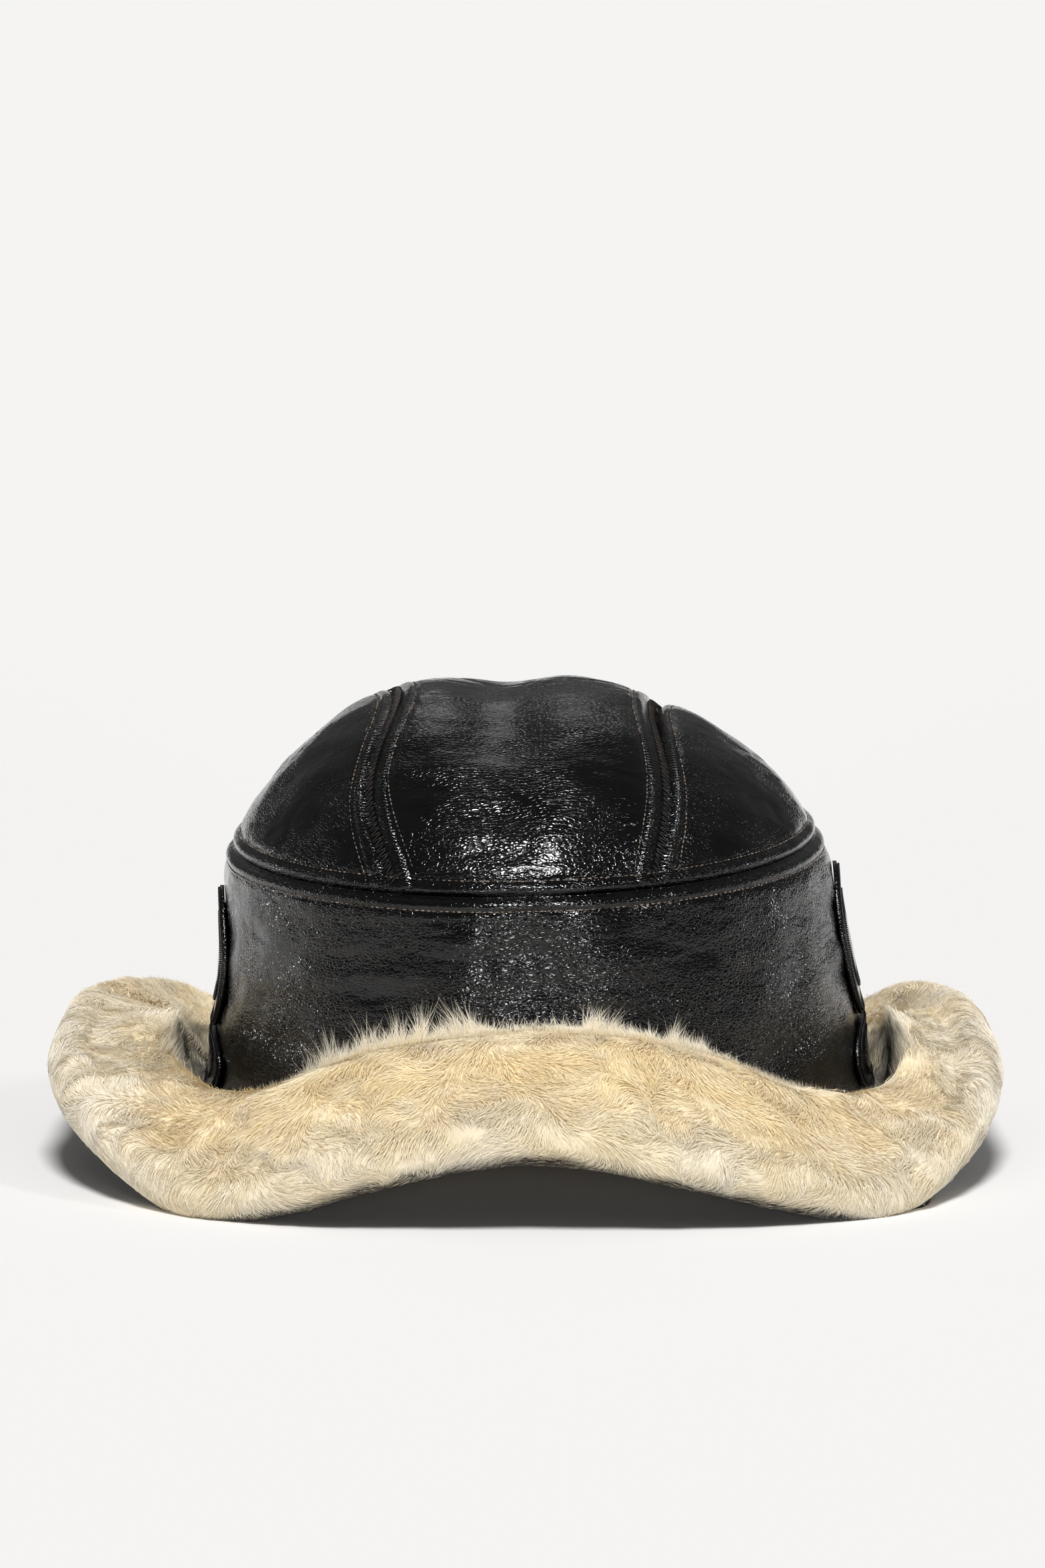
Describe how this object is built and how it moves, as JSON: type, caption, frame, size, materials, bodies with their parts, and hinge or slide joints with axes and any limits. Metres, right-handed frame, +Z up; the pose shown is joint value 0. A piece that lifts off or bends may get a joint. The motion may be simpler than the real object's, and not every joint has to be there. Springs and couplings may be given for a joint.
{
  "type": "sheepskin hat",
  "caption": "Soft shearling hat: a domed, panelled black leather crown over a side band, with a wide floppy brim of cream sheepskin that arches up in front and curls up at the sides.",
  "frame": {"origin": "on the floor under the middle of the hat", "axes": "+Z up through the crown, -Y out of the front of the hat, +X to the side where the tip's seam is higher"},
  "size_m": [0.2986, 0.325, 0.1466],
  "materials": {
    "black_leather": "glossy finished sheepskin nappa with fine wrinkles, wool side in",
    "cream_sheepskin": "dense sheared cream wool on a black-backed hide",
    "patch_leather": "glossy leather applique with a corded satin-stitched border"
  },
  "bodies": {
    "root": {"centre_panel": "black_leather", "left_panel": "black_leather", "right_panel": "black_leather", "side_band": "black_leather", "brim": "cream_sheepskin", "left_patch_tongue": "patch_leather", "left_patch_base": "patch_leather", "right_patch_tongue": "patch_leather", "right_patch_base": "patch_leather"}
  },
  "joints": []
}
